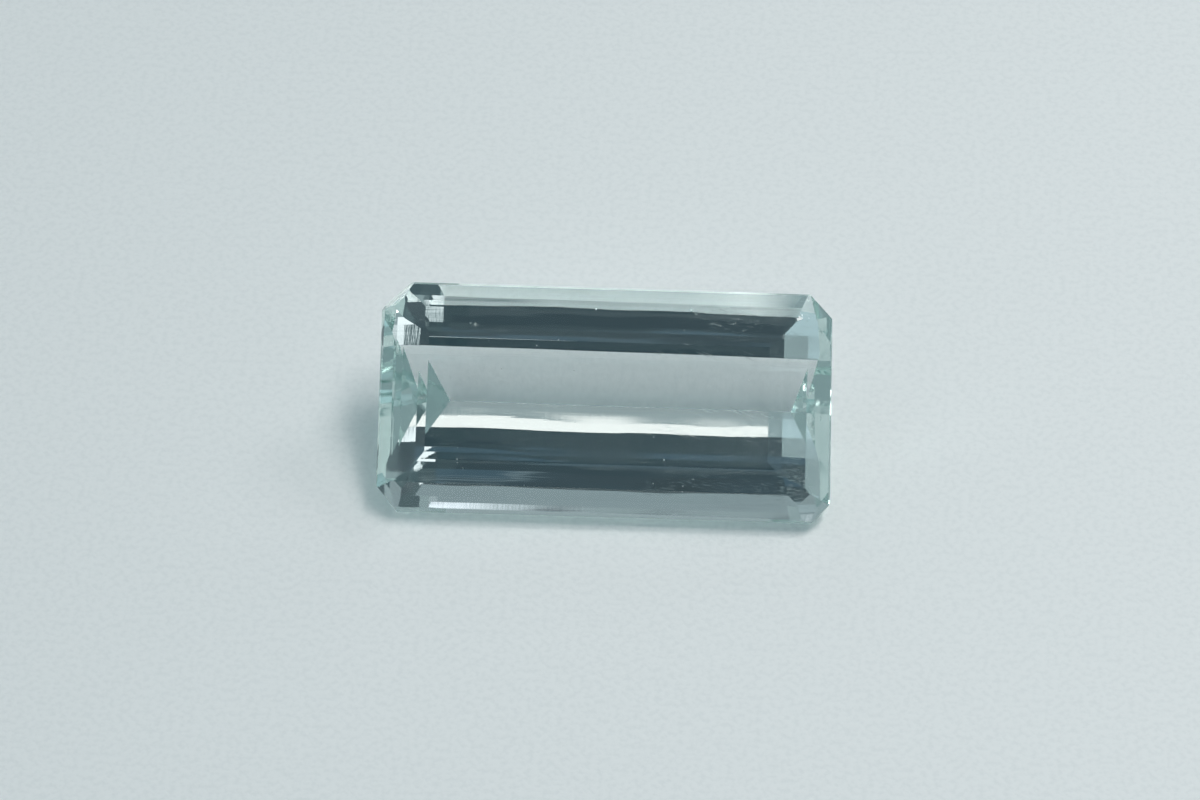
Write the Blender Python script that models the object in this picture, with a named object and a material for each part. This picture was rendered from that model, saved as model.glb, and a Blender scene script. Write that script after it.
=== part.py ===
"""Aquamarine gemstone in an octagonal step cut (emerald cut).

The stone is cut as a lapidary cuts it: from a block of rough, with one plane for each facet. The cuts
are set out on the upright stone, table up and girdle level. Each side has a girdle edge and two
flights of steps: crown steps climb inwards to the table, pavilion steps drop inwards to the keel. The
finished stone is then laid down on the front facet beside the keel, the way a loose stone comes to
rest.

Frame: metres, +Z up, origin under the centre of the bounding box, X along the keel. The table leans
towards -Y, the front.
"""

import math

import bmesh
import bpy
from mathutils import Matrix, Vector

MM = 0.001

TABLE_HEIGHT = 1.64 * MM       # crown's girdle edge to table
GIRDLE_THICKNESS = 0.22 * MM   # upright wall between crown and pavilion
ROUGH_MARGIN = 2.0 * MM        # rough left around the finished stone before cutting
MERGE_DISTANCE = 0.001 * MM    # corners closer than this are one corner

UP = 1      # a flight that climbs, on the crown
DOWN = -1   # a flight that drops, on the pavilion

# Each side has its distance in mm from the stone's axis to the girdle, and three azimuths in degrees
# (0 is +X, 90 is the back) for its girdle edge, crown and pavilion: the stone is hand cut, so they
# differ by up to a few degrees. Steps are listed from the girdle, as (angle from the girdle plane in
# degrees, width in mm seen from above). The last step of a flight has no width, because it runs on
# until the table or the keel ends it.
SIDES = {
    "right": {
        "girdle": 11.05,
        "azimuths": (0.9, 0.5, 2.5),
        "crown": ((61.5, 0.05), (39.5, 0.45), (37.0, 0.64), (24.5, 1.13), (15.0, None)),
        "pavilion": ((70.0, 0.64), (54.0, 1.43), (51.2, None)),
    },
    "back": {
        "girdle": 5.60,
        "azimuths": (89.6, 89.7, 89.4),
        "crown": ((65.5, 0.10), (38.5, 0.86), (33.0, 0.35), (20.5, 1.03), (13.5, None)),
        "pavilion": ((51.3, 1.24), (46.3, 1.66), (35.1, None)),
    },
    "left": {
        "girdle": 10.94,
        "azimuths": (180.5, 179.6, 180.5),
        "crown": ((61.0, 0.11), (38.0, 0.71), (34.0, 0.37), (29.0, 0.85), (19.5, None)),
        "pavilion": ((70.0, 0.41), (59.1, 1.08), (52.0, None)),
    },
    "front": {
        "girdle": 5.57,
        "azimuths": (-90.0, -90.3, -90.1),
        "crown": ((64.5, 0.15), (38.0, 0.27), (33.5, 0.84), (22.0, 1.12), (17.0, None)),
        "pavilion": ((47.3, 1.42), (41.6, 1.92), (37.7, None)),
    },
    "back_right": {
        "girdle": 10.97,
        "azimuths": (43.4, 46.1, 42.3),
        "crown": ((39.5, 1.30), (23.5, None)),
        "pavilion": ((57.5, 1.07), (52.0, 1.72), (45.0, None)),
    },
    "back_left": {
        "girdle": 10.65,
        "azimuths": (130.6, 134.2, 130.1),
        "crown": ((69.0, 0.17), (41.5, 0.16), (26.0, None)),
        "pavilion": ((58.0, 0.57), (54.0, 1.54), (39.0, None)),
    },
    "front_left": {
        "girdle": 11.11,
        "azimuths": (-139.5, -135.2, -139.5),
        "crown": ((38.5, 1.12), (25.5, None)),
        "pavilion": ((58.5, 1.08), (48.0, 1.42), (44.0, None)),
    },
    "front_right": {
        "girdle": 11.21,
        "azimuths": (-45.7, -45.3, -42.6),
        "crown": ((37.5, 1.01), (24.0, None)),
        "pavilion": ((59.8, 0.73), (44.6, 1.91), (41.5, None)),
    },
}
RESTING_SIDE = "front"

AQUAMARINE_COLOUR = (0.74, 0.88, 0.88, 1.0)
BERYL_IOR = 1.577
POLISH_ROUGHNESS = 0.0


def facet_normal(azimuth, angle, rise):
    """Outward normal of a facet at an azimuth and an angle from the girdle plane."""
    turn = math.radians(azimuth)
    flat = math.sin(math.radians(angle))
    steep = math.cos(math.radians(angle))
    return Vector((flat * math.cos(turn), flat * math.sin(turn), rise * steep))


def cut_facet(stone, point, normal):
    """Grind away everything outside one plane and close the stone with a flat facet."""
    geometry = stone.verts[:] + stone.edges[:] + stone.faces[:]
    cut = bmesh.ops.bisect_plane(stone, geom=geometry, plane_co=point, plane_no=normal, clear_outer=True)
    rim = [item for item in cut["geom_cut"] if isinstance(item, bmesh.types.BMEdge)]
    if rim:
        bmesh.ops.edgeloop_fill(stone, edges=rim)


def cut_flight(stone, azimuth, distance, height, steps, rise):
    """Cut one side's steps, working inwards from the girdle."""
    turn = math.radians(azimuth)
    for angle, width in steps:
        point = Vector((distance * math.cos(turn), distance * math.sin(turn), height))
        cut_facet(stone, point, facet_normal(azimuth, angle, rise))
        if width is not None:
            distance -= width * MM
            height += rise * width * MM * math.tan(math.radians(angle))


def cut_side(stone, side):
    """Cut one side's girdle wall, crown steps and pavilion steps."""
    girdle_azimuth, crown_azimuth, pavilion_azimuth = side["azimuths"]
    distance = side["girdle"] * MM
    upright_wall = ((90.0, None),)
    cut_flight(stone, girdle_azimuth, distance, 0.0, upright_wall, UP)
    cut_flight(stone, crown_azimuth, distance, 0.0, side["crown"], UP)
    cut_flight(stone, pavilion_azimuth, distance, -GIRDLE_THICKNESS, side["pavilion"], DOWN)


def cut_stone():
    """The upright stone: table up, crown's girdle edge at height 0, axis through the origin."""
    longest = max(side["girdle"] for side in SIDES.values()) * MM
    stone = bmesh.new()
    bmesh.ops.create_cube(stone, size=2.0 * (longest + ROUGH_MARGIN))
    cut_facet(stone, Vector((0.0, 0.0, TABLE_HEIGHT)), facet_normal(0.0, 0.0, UP))
    for side in SIDES.values():
        cut_side(stone, side)
    bmesh.ops.remove_doubles(stone, verts=stone.verts, dist=MERGE_DISTANCE)
    return stone


def lay_down(stone):
    """Rest the stone on its front keel facet and put the origin under its bounding box."""
    front = SIDES[RESTING_SIDE]
    keel_angle = front["pavilion"][-1][0]
    rest_normal = facet_normal(front["azimuths"][-1], keel_angle, DOWN)
    tip = rest_normal.rotation_difference(Vector((0.0, 0.0, -1.0))).to_matrix().to_4x4()
    bmesh.ops.transform(stone, matrix=tip, verts=stone.verts)
    low = Vector(min(vertex.co[axis] for vertex in stone.verts) for axis in range(3))
    high = Vector(max(vertex.co[axis] for vertex in stone.verts) for axis in range(3))
    centre = (low + high) / 2.0
    base = Matrix.Translation((-centre.x, -centre.y, -low.z))
    bmesh.ops.transform(stone, matrix=base, verts=stone.verts)


def aquamarine_material():
    """Clear, faintly blue-green beryl with a full polish."""
    material = bpy.data.materials.new("aquamarine")
    material.use_nodes = True
    shader = material.node_tree.nodes["Principled BSDF"]
    shader.inputs["Base Color"].default_value = AQUAMARINE_COLOUR
    shader.inputs["Metallic"].default_value = 0.0
    shader.inputs["Roughness"].default_value = POLISH_ROUGHNESS
    shader.inputs["IOR"].default_value = BERYL_IOR
    shader.inputs["Transmission Weight"].default_value = 1.0
    return material


def build_gemstone(collection):
    """The whole object: one faceted stone in one piece."""
    stone = cut_stone()
    lay_down(stone)
    bmesh.ops.recalc_face_normals(stone, faces=stone.faces)
    mesh = bpy.data.meshes.new("gemstone")
    stone.to_mesh(mesh)
    stone.free()
    mesh.materials.append(aquamarine_material())
    gemstone = bpy.data.objects.new("gemstone", mesh)
    collection.objects.link(gemstone)


def main():
    for leftover in list(bpy.data.objects):
        bpy.data.objects.remove(leftover, do_unlink=True)
    collection = bpy.data.collections.new("aquamarine gemstone")
    bpy.context.scene.collection.children.link(collection)
    build_gemstone(collection)


main()
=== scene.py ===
"""Studio scene for the step-cut aquamarine: one clear stone lying on pale paper under soft light."""

import math

import bpy
from mathutils import Euler, Matrix, Vector

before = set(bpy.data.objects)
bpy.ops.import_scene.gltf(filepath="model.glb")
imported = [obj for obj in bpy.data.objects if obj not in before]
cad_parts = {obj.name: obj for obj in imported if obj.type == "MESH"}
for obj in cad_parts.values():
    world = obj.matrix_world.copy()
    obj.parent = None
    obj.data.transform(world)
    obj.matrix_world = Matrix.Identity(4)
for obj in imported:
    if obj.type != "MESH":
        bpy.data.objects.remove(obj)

MM = 0.001
DEGREE = math.pi / 180.0

# Camera: high in front of the stone, a long lens close to the subject.
CAMERA_PLACE = (20.14 * MM, -185.98 * MM, 193.62 * MM)
CAMERA_TURN = (44.611 * DEGREE, 2.041 * DEGREE, 4.183 * DEGREE)
CAMERA_LENS_MM = 164.7
CAMERA_SENSOR_MM = 36.0
CAMERA_NEAR = 10.0 * MM
CAMERA_FAR = 20.0

FLOOR_SIZE = 6.0
REST_GAP = 0.02 * MM   # air between the stone and the paper it rests on
PAPER_COLOUR = (0.868, 0.893, 0.895, 1.0)
PAPER_SHADE = (0.825, 0.853, 0.857, 1.0)     # the hollows of its grain
PAPER_ROUGHNESS = 0.9
PAPER_GRAIN_SIZE = 0.3 * MM
PAPER_GRAIN_HEIGHT = 0.02 * MM
PAPER_GRAIN_DETAIL = 3.0
PAPER_GRAIN_RANGE = (0.3, 0.6)               # noise that is all hollow, and noise that is all paper

BERYL_IOR = 1.577
BERYL_SURFACE = (1.0, 1.0, 1.0, 1.0)         # uncoloured: the stone is coloured by its depth
BERYL_TINT = (0.62, 0.80, 0.77, 1.0)         # absorption per metre is (1 - tint) x density
BERYL_DENSITY = 40.0

# Surface of the cut stone. Pattern sizes are in the stone's own frame: along it, across its table,
# and along its table's normal.
STONE_TIP = 37.7 * DEGREE                    # the table leans this far to the front
TABLE_NORMAL = (-0.00107, -0.61153, 0.79122)

# Relief of the facets: the size of each pattern and the height of its bumps.
FACET_RELIEF = [
    ("slight waves", (8.0 * MM, 6.0 * MM, 6.0 * MM), 0.06 * MM),
    ("polishing lines across", (0.12 * MM, 6.0 * MM, 6.0 * MM), 0.0006 * MM),
    ("polishing lines along", (6.0 * MM, 0.12 * MM, 0.12 * MM), 0.0004 * MM),
]

# Wear. A range is the noise at which a mark begins and the noise at which it is full.
SCRATCH_SIZE = (1.8 * MM, 0.09 * MM, 0.09 * MM)
SCRATCH_TURN = -21.0 * DEGREE                # about the table's normal
SCRATCH_RANGE = (0.56, 0.70)
SCRATCH_PATCH_SIZE = (7.0 * MM, 3.0 * MM, 3.0 * MM)
SCRATCH_PATCH_DETAIL = 2.0
SCRATCH_PATCH_RANGE = (0.38, 0.52)
SCRATCH_ENDS = (-1.0 * MM, 5.0 * MM)         # none left of the first X, most right of the second
SCRATCH_ROUGHNESS = 0.25
SPECK_SPACING = 1.2 * MM                     # between one pit or grain of dust and the next
SPECK_REACH = 0.04                           # a mark ends this far from its middle, in spacings
SPECK_CORE = 0.024                           # and is fully rough within this
SPECK_ROUGHNESS = 0.5
GIRDLE_BAND = 0.05                           # facets this close to upright are the ground girdle
GIRDLE_ROUGHNESS = 0.32

SKY_COLOUR = (0.28, 0.36, 0.38)

# Cards of light and shade on the sky: azimuth and elevation of the middle, half width and half
# height, softness of the edge (all in degrees), and linear colour.
SKY_CARDS = [
    ("ceiling", 230, 90, 180, 11, 3, (0.35, 0.41, 0.43)),
    ("left wall", 190, 58, 49, 13, 5, (0.48, 0.62, 0.67)),
    ("back wall", 90, 52, 35, 10, 4, (0.25, 0.325, 0.35)),
    ("back trim", 90, 41.5, 35, 1.2, 1, (0.09, 0.12, 0.14)),
    ("back window", 105, 34, 7.5, 7, 3, (1.2, 1.3, 1.4)),
    ("back reflector", 57, 31, 14, 9, 4, (0.52, 0.72, 0.76)),
    ("lamp frame", 104, 71, 20, 6, 2, (0.03, 0.045, 0.05)),
    ("dark room", 290, 33, 42, 13, 4, (0.065, 0.105, 0.12)),
    ("photographer's side", 266, 45, 21, 25, 4, (0.032, 0.056, 0.070)),
    ("blue reflector", 262, 41, 22, 3, 2, (0.055, 0.10, 0.135)),
    ("side window", 294.5, 55, 6.5, 8, 3, (1.15, 1.2, 1.25)),
    ("overhead softbox", 275, 75.3, 42, 3.5, 2.5, (1.15, 1.13, 1.12)),
]

# Softboxes: azimuth and elevation of the middle in degrees, distance, width and height in metres,
# radiance, and linear colour.
SOFTBOXES = [
    ("key softbox", 20.0, 65.5, 0.31, 0.080, 0.080, 9.5, (1.06, 1.0, 0.98)),
    ("right softbox", 335.0, 68.5, 0.31, 0.075, 0.075, 10.0, (1.06, 1.0, 0.98)),
    ("back softbox", 34.0, 42.5, 0.35, 0.090, 0.080, 4.0, (1.04, 1.0, 0.99)),
]

CLEAR_BOUNCES = 24     # light is followed this far through the stone
DIFFUSE_BOUNCES = 8

# Places of the colour sockets on a Mix node, whose names repeat for each type of data.
MIX_COLOUR_A = 6
MIX_COLOUR_B = 7
MIX_COLOUR_RESULT = 2


def make_camera():
    data = bpy.data.cameras.new("camera")
    data.lens = CAMERA_LENS_MM
    data.sensor_width = CAMERA_SENSOR_MM
    data.clip_start = CAMERA_NEAR
    data.clip_end = CAMERA_FAR
    camera = bpy.data.objects.new("camera", data)
    camera.location = CAMERA_PLACE
    camera.rotation_euler = Euler(CAMERA_TURN, "XYZ")
    bpy.context.scene.collection.objects.link(camera)
    bpy.context.scene.camera = camera


def empty_material(name):
    material = bpy.data.materials.new(name)
    material.use_nodes = True
    material.node_tree.nodes.clear()
    return material


class Net:
    """Adds nodes to a tree and links them."""

    def __init__(self, tree):
        self.tree = tree

    def node(self, kind, **settings):
        node = self.tree.nodes.new(kind)
        for key, value in settings.items():
            setattr(node, key, value)
        return node

    def link(self, source, target):
        self.tree.links.new(source, target)

    def feed(self, socket, value):
        """A number or colour is set on the socket; an output is linked to it."""
        if isinstance(value, bpy.types.NodeSocket):
            self.link(value, socket)
        else:
            socket.default_value = value

    def math(self, operation, a, b=0.0, c=0.0):
        node = self.node("ShaderNodeMath", operation=operation)
        for socket, value in zip(node.inputs, (a, b, c)):
            self.feed(socket, value)
        return node.outputs[0]

    def ramp(self, value, start, end):
        """Smooth step, 0 where the value is at the start and 1 where it is at the end."""
        node = self.node("ShaderNodeMapRange", interpolation_type="SMOOTHSTEP")
        self.feed(node.inputs["Value"], value)
        node.inputs["From Min"].default_value = start
        node.inputs["From Max"].default_value = end
        return node.outputs[0]

    def blend(self, factor, first, second, label=""):
        """The first colour where the factor is 0, the second where it is 1."""
        node = self.node("ShaderNodeMix", data_type="RGBA", label=label)
        self.feed(node.inputs["Factor"], factor)
        self.feed(node.inputs[MIX_COLOUR_A], first)
        self.feed(node.inputs[MIX_COLOUR_B], second)
        return node.outputs[MIX_COLOUR_RESULT]

    def split(self, vector):
        """The X, Y and Z of a vector."""
        node = self.node("ShaderNodeSeparateXYZ")
        self.link(vector, node.inputs[0])
        return node.outputs


def soft_window(net, value, middle, half, softness, wrap=None):
    """1 near the middle and 0 away from it, with a soft edge centred half from the middle."""
    offset = net.math("SUBTRACT", value, middle)
    if wrap:
        offset = net.math("WRAP", offset, -wrap, wrap)
    distance = net.math("ABSOLUTE", offset)
    return net.ramp(distance, half + softness / 2.0, half - softness / 2.0)


def make_sky():
    world = bpy.data.worlds.new("studio")
    world.use_nodes = True
    world.node_tree.nodes.clear()
    net = Net(world.node_tree)
    x, y, z = net.split(net.node("ShaderNodeTexCoord").outputs["Generated"])
    azimuth = net.math("MULTIPLY", net.math("ARCTAN2", y, x), 1.0 / DEGREE)
    elevation = net.math("MULTIPLY", net.math("ARCSINE", z), 1.0 / DEGREE)
    colour = (*SKY_COLOUR, 1.0)
    for name, card_azimuth, card_elevation, half_width, half_height, softness, tone in SKY_CARDS:
        across = soft_window(net, azimuth, card_azimuth, half_width, softness, wrap=180.0)
        up = soft_window(net, elevation, card_elevation, half_height, softness)
        card = net.math("MULTIPLY", across, up)
        colour = net.blend(card, colour, (*tone, 1.0), label=name)
    background = net.node("ShaderNodeBackground")
    net.feed(background.inputs["Color"], colour)
    output = net.node("ShaderNodeOutputWorld")
    net.link(background.outputs[0], output.inputs["Surface"])
    bpy.context.scene.world = world


def direction(azimuth, elevation):
    """Unit vector towards an azimuth and elevation in degrees."""
    turn, rise = azimuth * DEGREE, elevation * DEGREE
    return Vector((math.cos(rise) * math.cos(turn), math.cos(rise) * math.sin(turn), math.sin(rise)))


def make_softboxes():
    """Area lights that face the origin. Their energy is the power that gives the radiance."""
    for name, azimuth, elevation, distance, width, height, radiance, colour in SOFTBOXES:
        data = bpy.data.lights.new(name, "AREA")
        data.shape = "RECTANGLE"
        data.size = width
        data.size_y = height
        data.energy = radiance * math.pi * width * height
        data.color = colour
        light = bpy.data.objects.new(name, data)
        towards = direction(azimuth, elevation)
        light.location = towards * distance
        light.rotation_euler = towards.to_track_quat("Z", "Y").to_euler()
        bpy.context.scene.collection.objects.link(light)


def pattern_position(net, size, turn=None):
    """Position on the object in waves of a pattern, whose frame may be turned."""
    place = net.node("ShaderNodeMapping", vector_type="TEXTURE")
    net.link(net.node("ShaderNodeTexCoord").outputs["Object"], place.inputs["Vector"])
    place.inputs["Scale"].default_value = size
    if turn:
        place.inputs["Rotation"].default_value = turn
    return place.outputs[0]


def stone_frame(turn=0.0):
    """The stone's own frame, turned about its table's normal."""
    return (Matrix.Rotation(STONE_TIP, 3, "X") @ Matrix.Rotation(turn, 3, "Z")).to_euler()


def noise(net, size, turn=None, detail=1.0):
    """Noise from 0 to 1."""
    texture = net.node("ShaderNodeTexNoise")
    net.link(pattern_position(net, size, turn), texture.inputs["Vector"])
    texture.inputs["Scale"].default_value = 1.0
    texture.inputs["Detail"].default_value = detail
    return texture.outputs[0]


def bump(net, height, distance, normal=None):
    """The normal tilted by a height pattern, whose bumps are the distance high."""
    node = net.node("ShaderNodeBump")
    net.feed(node.inputs["Height"], height)
    node.inputs["Distance"].default_value = distance
    if normal:
        net.link(normal, node.inputs["Normal"])
    return node.outputs[0]


def paper_material():
    """Matt paper with a fine grain."""
    material = empty_material("paper")
    net = Net(material.node_tree)
    grain = noise(net, (PAPER_GRAIN_SIZE,) * 3, detail=PAPER_GRAIN_DETAIL)
    tone = net.blend(net.ramp(grain, *PAPER_GRAIN_RANGE), PAPER_SHADE, PAPER_COLOUR)
    shader = net.node("ShaderNodeBsdfPrincipled")
    net.link(tone, shader.inputs["Base Color"])
    shader.inputs["Roughness"].default_value = PAPER_ROUGHNESS
    net.link(bump(net, grain, PAPER_GRAIN_HEIGHT), shader.inputs["Normal"])
    output = net.node("ShaderNodeOutputMaterial")
    net.link(shader.outputs[0], output.inputs["Surface"])
    return material


def make_floor():
    half = FLOOR_SIZE / 2.0
    outline = ((-half, -half), (half, -half), (half, half), (-half, half))
    corners = [(x, y, -REST_GAP) for x, y in outline]
    mesh = bpy.data.meshes.new("paper")
    mesh.from_pydata(corners, [], [(0, 1, 2, 3)])
    mesh.materials.append(paper_material())
    floor = bpy.data.objects.new("paper", mesh)
    bpy.context.scene.collection.objects.link(floor)


def girdle_mask(net, facet_normal):
    """1 on the upright girdle walls, 0 on every other facet."""
    lean = net.node("ShaderNodeVectorMath", operation="DOT_PRODUCT")
    net.link(facet_normal, lean.inputs[0])
    lean.inputs[1].default_value = TABLE_NORMAL
    return net.math("LESS_THAN", net.math("ABSOLUTE", lean.outputs["Value"]), GIRDLE_BAND)


def speck_mask(net):
    """Small scattered pits and dust, 1 at their middle."""
    cells = net.node("ShaderNodeTexVoronoi")
    net.link(pattern_position(net, (SPECK_SPACING,) * 3), cells.inputs["Vector"])
    cells.inputs["Scale"].default_value = 1.0
    return net.ramp(cells.outputs["Distance"], SPECK_REACH, SPECK_CORE)


def scratch_mask(net):
    """Fine slanting scratches in patches, more of them towards the right end."""
    lines = noise(net, SCRATCH_SIZE, stone_frame(SCRATCH_TURN))
    patches = noise(net, SCRATCH_PATCH_SIZE, stone_frame(), detail=SCRATCH_PATCH_DETAIL)
    x, _, _ = net.split(net.node("ShaderNodeTexCoord").outputs["Object"])
    scratches = net.ramp(lines, *SCRATCH_RANGE)
    worn = net.ramp(patches, *SCRATCH_PATCH_RANGE)
    worn_end = net.ramp(x, *SCRATCH_ENDS)
    return net.math("MULTIPLY", net.math("MULTIPLY", scratches, worn), worn_end)


def beryl_roughness(net, facet_normal):
    """Full polish, broken by patches of fine scratches, a few specks and the ground girdle."""
    scratches = net.math("MULTIPLY", scratch_mask(net), SCRATCH_ROUGHNESS)
    specks = net.math("MULTIPLY", speck_mask(net), SPECK_ROUGHNESS)
    girdle = net.math("MULTIPLY", girdle_mask(net, facet_normal), GIRDLE_ROUGHNESS)
    return net.math("MAXIMUM", net.math("MAXIMUM", scratches, specks), girdle)


def beryl_normal(net, facet_normal):
    """Flat facets with a slight wave and fine polishing lines both ways."""
    normal = facet_normal
    for _, size, height in FACET_RELIEF:
        normal = bump(net, noise(net, size, stone_frame()), height, normal)
    return normal


def beryl_material():
    """Clear, faintly blue-green beryl."""
    material = empty_material("aquamarine")
    net = Net(material.node_tree)
    facet_normal = net.node("ShaderNodeNewGeometry").outputs["True Normal"]
    shader = net.node("ShaderNodeBsdfPrincipled")
    shader.inputs["Base Color"].default_value = BERYL_SURFACE
    shader.inputs["IOR"].default_value = BERYL_IOR
    shader.inputs["Transmission Weight"].default_value = 1.0
    net.link(beryl_roughness(net, facet_normal), shader.inputs["Roughness"])
    net.link(beryl_normal(net, facet_normal), shader.inputs["Normal"])
    depth = net.node("ShaderNodeVolumeAbsorption")
    depth.inputs["Color"].default_value = BERYL_TINT
    depth.inputs["Density"].default_value = BERYL_DENSITY
    output = net.node("ShaderNodeOutputMaterial")
    net.link(shader.outputs[0], output.inputs["Surface"])
    net.link(depth.outputs[0], output.inputs["Volume"])
    return material


def dress_stone():
    """The solid keeps its mesh and gets the full material on its one slot."""
    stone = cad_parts["gemstone"]
    stone.data.materials.clear()
    stone.data.materials.append(beryl_material())


def set_light_paths():
    """Long, sharp light paths through the stone, shown with plain colours."""
    scene = bpy.context.scene
    scene.cycles.max_bounces = CLEAR_BOUNCES
    scene.cycles.transmission_bounces = CLEAR_BOUNCES
    scene.cycles.glossy_bounces = CLEAR_BOUNCES
    scene.cycles.diffuse_bounces = DIFFUSE_BOUNCES
    scene.cycles.blur_glossy = 0.0
    scene.view_settings.view_transform = "Standard"


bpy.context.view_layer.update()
make_camera()
make_sky()
make_softboxes()
make_floor()
dress_stone()
set_light_paths()
